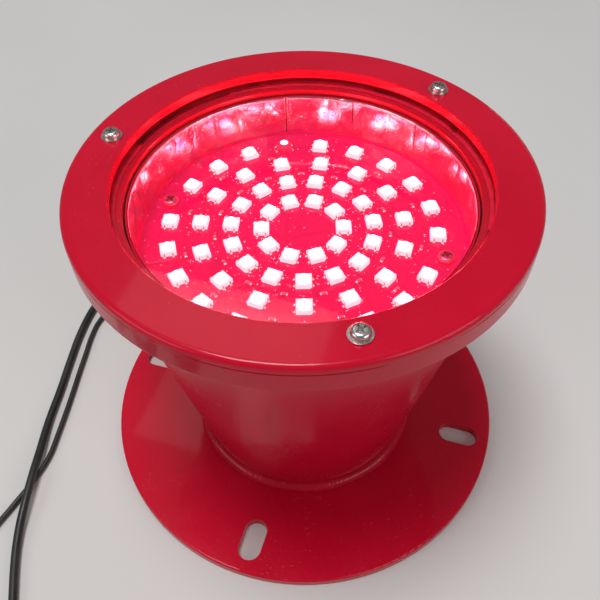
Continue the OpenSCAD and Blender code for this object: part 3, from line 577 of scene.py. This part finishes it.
def foil_radius(degrees, up, creases, waves):
    """Inner radius at a direction and a height from 0 to 1."""
    lean = CREASE_LEAN * (up - 0.5) * math.sin(degrees * LEAN_RATE)
    at = min(max(degrees + lean, creases[0]), creases[-1] - 0.001)
    k = max(i for i, c in enumerate(creases) if c <= at)
    half = math.radians(creases[k + 1] - creases[k]) / 2
    off = math.radians(at) - math.radians(creases[k]) - half
    r = CREASE_R * math.cos(half) / math.cos(off)
    for depth, count, slant, phase in waves:
        r -= depth * (0.5 + 0.5 * math.sin(math.radians(degrees * count) + slant * up + phase))
    return r + (RIM_R - r) * max(0, (up - (1 - RIM_PART)) / RIM_PART) ** 2


def foil_sheet():
    """Points and faces of the sheet, and the numbers of the faces of its seams and its rim."""
    rng = random.Random(21)
    creases = foil_creases(rng)
    waves = [(a, n, rng.uniform(-2.5, 2.5), rng.uniform(0, 6.28)) for a, n in FOIL_WAVES]
    step = (360 - SLIT_GAP) / FOIL_AROUND
    start = SLIT + SLIT_GAP / 2
    verts, faces, dark_seam_faces, rim = [], [], [], []
    for side in (0, 1):
        for i in range(FOIL_AROUND + 1):
            degrees = start + step * i
            for j in range(FOIL_UP + 1):
                up = j / FOIL_UP
                r = foil_radius(degrees, up, creases, waves) + FOIL_SHEET * side
                verts.append(polar(r, degrees, FOIL_LOW + (FOIL_HIGH - FOIL_LOW) * up))
    # n points up a column, and as many points again on the sheet's outer side
    n = FOIL_UP + 1
    outer = (FOIL_AROUND + 1) * n
    for i in range(FOIL_AROUND):
        foot, top = i * n, i * n + FOIL_UP
        on_seam = any(abs(start + step * (i + 0.5) - 360 - a) < step / 2 for a in SEAMS)
        for a in range(foot, top):
            if on_seam and (a - foot) / FOIL_UP >= SEAM_FOOT:
                dark_seam_faces.append(len(faces))
            faces.append((a + 1, a + n + 1, a + n, a))
            faces.append((outer + a, outer + a + n, outer + a + n + 1, outer + a + 1))
        faces.append((foot, foot + n, outer + foot + n, outer + foot))
        rim.append(len(faces))
        faces.append((outer + top, outer + top + n, top + n, top))
    for foot, flip in ((0, True), (FOIL_AROUND * n, False)):
        for a in range(foot, foot + FOIL_UP):
            quad = (a, a + 1, outer + a + 1, outer + a)
            faces.append(quad[::-1] if flip else quad)
    return verts, faces, dark_seam_faces, rim


def sealant(first):
    """Points and faces, numbered from first on, of the uneven bead between board and foil."""
    k = len(SEALANT)
    verts, faces = [], []
    for i in range(SEALANT_AROUND):
        lift = 0.04 * math.sin(0.31 * i) + 0.03 * math.sin(1.07 * i)
        a, b = first + i * k, first + (i + 1) % SEALANT_AROUND * k
        for j, (r, z) in enumerate(SEALANT):
            # The lip moves sideways, and its upper edge up and down
            spread = 4 * lift if j in (0, 1) else 0
            raised = lift if j in (1, 2) else 0
            verts.append(polar(r + spread, i, z + raised))
            m = (j + 1) % k
            faces.append((a + j, a + m, b + m, b + j))
    return verts, faces


def foil_band():
    verts, faces, dark_seam_faces, rim = foil_sheet()
    sealed = len(faces)
    more_verts, more_faces = sealant(len(verts))
    faces += more_faces
    piece = add_piece("foil_band", verts + more_verts, faces, foil_metal)
    paint_faces(piece, dark_seam, dark_seam_faces)
    paint_faces(piece, edge_sealant, rim + list(range(sealed, len(faces))))
    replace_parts(piece, "foil_lining")


foil_band()


# Lamps, each given by its ring's radius and its direction. The outer ring is two groups of
# ten, with a board screw in each gap between them
BOARD_TOP, LAMP_FACE = 143.1, 145.5
LAMP_HALF, WINDOW_R, DOME_H = 3.5, 2.9, 2.2
RING1_R, RING4_R = 18.7, 61.1
RING_RADII = [RING1_R + (RING4_R - RING1_R) * i / 3 for i in range(4)]
RING4_STEP = 17.27
LAMPS = (
    [(RING_RADII[0], 18 + 36 * i) for i in range(10)]
    + [(RING_RADII[1], 24 * i) for i in range(15)]
    + [(RING_RADII[2], 24 * i) for i in range(15)]
    + [(RING_RADII[3], middle + (i - 4.5) * RING4_STEP) for middle in (90, 270) for i in range(10)]
)
# The lamp that shows only a small lit spot, and the spot's edge in degrees from the dome's top
DIM_LAMP, DIM_SPOT = 46, 42
# Tilt of the dome's other rings of points
DOME_TILTS = (68, 60, 51, DIM_SPOT, 32, 21, 10)
DOME_AROUND = 28
CHIPS = (
    [((RING_RADII[2] + RING_RADII[3]) / 2, 4 + 30 * i) for i in range(12)]
    + [((RING_RADII[1] + RING_RADII[2]) / 2, 12 + 24 * i) for i in range(15)]
)
# Place of a leg's notch along its side, half its width, and its depth
LEG_X, NOTCH_HALF, NOTCH_DEEP = 1.9, 0.42, 0.32
CORNER_CUT, CORNER_SOFT = 0.84, 0.2
# Width of the lip round the well, and scale of the outline inside the bevel
LIP, BEVELLED = 0.15, 0.955


def lamp_outline():
    """Points round a lamp's body: one cut corner, three soft ones, and notches for the legs in
    the sides along Y. The plain sides have points too, so that the window's edge, which has
    its points at the same directions, stays round."""
    h, soft = LAMP_HALF, CORNER_SOFT
    plain = [(h, -1.6), (h, -0.6), (h, 0.6), (h, 1.6)]
    notched = []
    for x in (LEG_X, -LEG_X):
        left, right = x - NOTCH_HALF, x + NOTCH_HALF
        notched += [(right, h), (right, h - NOTCH_DEEP), (left, h - NOTCH_DEEP), (left, h)]
        if x > 0:
            notched += [(0.6, h), (-0.6, h)]
    return (
        plain + [(h, h - CORNER_CUT), (h - CORNER_CUT, h)]
        + notched + [(-h + soft, h), (-h, h - soft)]
        + [(-x, -y) for x, y in plain] + [(-h, -h + soft), (-h + soft, -h)]
        + [(-x, -y) for x, y in notched] + [(h - soft, -h), (h, -h + soft)]
    )


def lamp_housings():
    """Square bodies with a bevelled upper edge and a lip round the window's well."""
    outline = lamp_outline()
    angles = [math.atan2(y, x) for x, y in outline]
    well = [(WINDOW_R * math.cos(a), WINDOW_R * math.sin(a)) for a in angles]
    lip = [((WINDOW_R + LIP) * math.cos(a), (WINDOW_R + LIP) * math.sin(a)) for a in angles]
    inset = [(x * BEVELLED, y * BEVELLED) for x, y in outline]
    top = LAMP_FACE - BOARD_TOP
    # The wall, the bevel, the flat face, the lip and the well's wall, with heights over the board
    layers = [
        (outline, 0.05), (outline, top - 0.22), (inset, top - 0.04), (lip, top - 0.04),
        (lip, top + 0.02), (well, top + 0.02), (well, top / 2 - 0.02),
    ]
    verts, faces, dim = [], [], []
    for number, (r, degrees) in enumerate(LAMPS):
        middle, turn = polar(r, degrees, 0), math.radians(degrees)
        made = stack_faces(len(verts), len(outline), len(layers))
        if number == DIM_LAMP:
            dim = range(len(faces), len(faces) + len(made))
        faces += made
        for ring, z in layers:
            verts += [(*turned(x, y, turn, middle), BOARD_TOP + z) for x, y in ring]
    piece = add_piece("lamp_housings", verts, faces, lamp_body, smooth=False)
    paint_faces(piece, dim_resin, dim)
    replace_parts(piece, "lamp_bodies")


def lamp_lenses():
    """Each lamp's window: a stem in the body, a small step and a dome."""
    r = WINDOW_R - 0.05
    ball = (r * r + DOME_H * DOME_H) / (2 * DOME_H)
    top = LAMP_FACE + DOME_H
    # Rings of points: radius, height and tilt
    rings = [(r, LAMP_FACE - 1.15, 90), (r, LAMP_FACE + 0.05, 90), (r - 0.08, LAMP_FACE + 0.12, 90)]
    for tilt in DOME_TILTS:
        a = math.radians(tilt)
        rings.append((ball * math.sin(a), top - ball * (1 - math.cos(a)), tilt))
    n = DOME_AROUND
    verts, faces, dim = [], [], []
    for number, (far, degrees) in enumerate(LAMPS):
        middle = polar(far, degrees, 0)
        if number == DIM_LAMP:
            for k, (_, _, tilt) in enumerate(rings):
                if tilt > DIM_SPOT:
                    dim += range(len(faces) + k * n, len(faces) + (k + 1) * n)
        faces += stack_faces(len(verts), n, len(rings), pointed=True)
        for ring_r, z, _ in rings:
            verts += [middle + polar(ring_r, 360 * i / n, z) for i in range(n)]
        verts.append(middle + Vector((0, 0, top)))
    piece = add_piece("lamp_lenses", verts, faces, lamp_window)
    paint_faces(piece, dim_resin, dim)
    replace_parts(piece, "lamp_windows")


lamp_housings()
lamp_lenses()


# Legs and solder: a bent leg and its fillet in each notch, a fillet at each end of a chip
# resistor, and stray beads
BLOB_RINGS = 3
# The leg's line, as distance from the lamp's middle and height over the board, with the
# leg's half width and thickness, and the distance of its fillet
LEG_LINE = ((3.2, 1.5), (3.62, 1.5), (3.86, 1.28), (3.9, 0.02))
LEG_HALF, LEG_THICK, FILLET_Y = 0.3, 0.16, 4.1
# Fillets: half length, half width and height. A chip's ends are this far from its middle
LEG_FILLET, CHIP_FILLET, CHIP_END = (0.62, 0.55, 0.5), (0.8, 0.5, 0.45), 1.15
# Stray beads: how many to a lamp, how far from its middle and how big, and their field's radius
BEADS, BEADS_AWAY, BEADS_SIZE, BEADS_WITHIN_R = 9, (4.9, 7.4), (0.14, 0.36), 72.5


def blob(verts, faces, middle, size, turn, n=6):
    """Adds a domed bead on the board; size is half length, half width and height."""
    faces += stack_faces(len(verts), n, BLOB_RINGS, pointed=True)
    for k in range(BLOB_RINGS):
        lift = math.radians(90 * k / BLOB_RINGS)
        for i in range(n):
            a = 2 * math.pi * i / n
            x = size[0] * math.cos(lift) * math.cos(a)
            y = size[1] * math.cos(lift) * math.sin(a)
            verts.append((*turned(x, y, turn, middle), BOARD_TOP + size[2] * math.sin(lift)))
    verts.append((middle[0], middle[1], BOARD_TOP + size[2]))


def leg(verts, faces, middle, turn, x, out):
    """Adds a flat leg that comes out of the notch at x, bends and goes down to the board.
    It points along the lamp's Y when out is 1 and against it when out is -1."""
    for k in range(len(LEG_LINE) - 1):
        a = len(verts) + 4 * k
        for i, j in ((0, 2), (2, 3), (3, 1), (1, 0)):
            quad = (a + i, a + j, a + j + 4, a + i + 4)
            faces.append(quad if out > 0 else quad[::-1])
    for y, z in LEG_LINE:
        for dx in (-LEG_HALF, LEG_HALF):
            for deep in (0, LEG_THICK):
                # The level part is as thick downwards as the upright part is inwards
                drop = deep if z > 1.2 else 0
                place = turned(x + dx, out * (y - deep), turn, middle)
                verts.append((*place, BOARD_TOP + z - drop))


def solder_and_legs():
    rng = random.Random(8)
    verts, faces = [], []
    leg_verts, leg_faces = [], []
    for r, degrees in LAMPS:
        middle, turn = polar(r, degrees, 0), math.radians(degrees)
        for x in (-LEG_X, LEG_X):
            for out in (-1, 1):
                leg(leg_verts, leg_faces, middle, turn, x, out)
                foot = turned(x, out * FILLET_Y, turn, middle)
                blob(verts, faces, foot, LEG_FILLET, turn, n=8)
        for _ in range(BEADS):
            a, away = rng.uniform(0, 6.283), rng.uniform(*BEADS_AWAY)
            size = rng.uniform(*BEADS_SIZE)
            spot = (middle.x + away * math.cos(a), middle.y + away * math.sin(a))
            if math.hypot(*spot) < BEADS_WITHIN_R:
                blob(verts, faces, spot, (size, size * rng.uniform(0.6, 1), size * 0.8), a)
    for r, degrees in CHIPS:
        middle, turn = polar(r, degrees, 0), math.radians(degrees)
        for y in (-CHIP_END, CHIP_END):
            blob(verts, faces, turned(0, y, turn, middle), CHIP_FILLET, turn, n=8)
    add_piece("board_solder", verts, faces, solder)
    add_piece("lamp_legs", leg_verts, leg_faces, leg_metal, smooth=False)


solder_and_legs()

# Floor, world and soft lamps, in metres and watts
FLOOR_HALF = 9
floor_surface = Surface("floor", (0.64, 0.63, 0.62), 0.7, Specular_IOR_Level=0.2)
floor_surface.cloudy(floor_surface.noise(2.5, 3), (0.66, 0.65, 0.64), (0.62, 0.61, 0.6))
floor_mesh = bpy.data.meshes.new("floor")
corners = ((-1, -1, 0), (1, -1, 0), (1, 1, 0), (-1, 1, 0))
floor_mesh.from_pydata([FLOOR_HALF * Vector(c) for c in corners], [], [(0, 1, 2, 3)])
floor = bpy.data.objects.new("floor", floor_mesh)
floor.location.z = -0.0002
scene.collection.objects.link(floor)
floor_mesh.materials.append(floor_surface.material)

world = bpy.data.worlds.new("world")
scene.world = world
world.use_nodes = True
world.node_tree.nodes["Background"].inputs["Color"].default_value = (0.6, 0.6, 0.6, 1)
world.node_tree.nodes["Background"].inputs["Strength"].default_value = 0.33


def soft_lamp(name, place, target, size, energy):
    data = bpy.data.lights.new(name, "AREA")
    data.shape = "RECTANGLE"
    data.size, data.size_y = size
    data.energy = energy
    lamp = bpy.data.objects.new(name, data)
    lamp.location = place
    lamp.rotation_euler = (Vector(target) - Vector(place)).to_track_quat("-Z", "Y").to_euler()
    scene.collection.objects.link(lamp)


MIDDLE = (0, 0, 0.1)
soft_lamp("key", (-0.35, -0.1, 2.8), MIDDLE, (1.0, 1.0), 48)
soft_lamp("fill", (0.95, -0.35, 0.6), MIDDLE, (0.7, 0.5), 2.5)
soft_lamp("front", (-0.8, -0.7, 0.7), MIDDLE, (0.7, 0.5), 2)
# Its image shows as the haze at the glass's near left edge
soft_lamp("sheen", (-0.31, 0.47, 0.95), (-0.31, 0.47, 0), (0.4, 0.19), 0.36)

scene.view_settings.view_transform = "Standard"

bpy.context.view_layer.update()
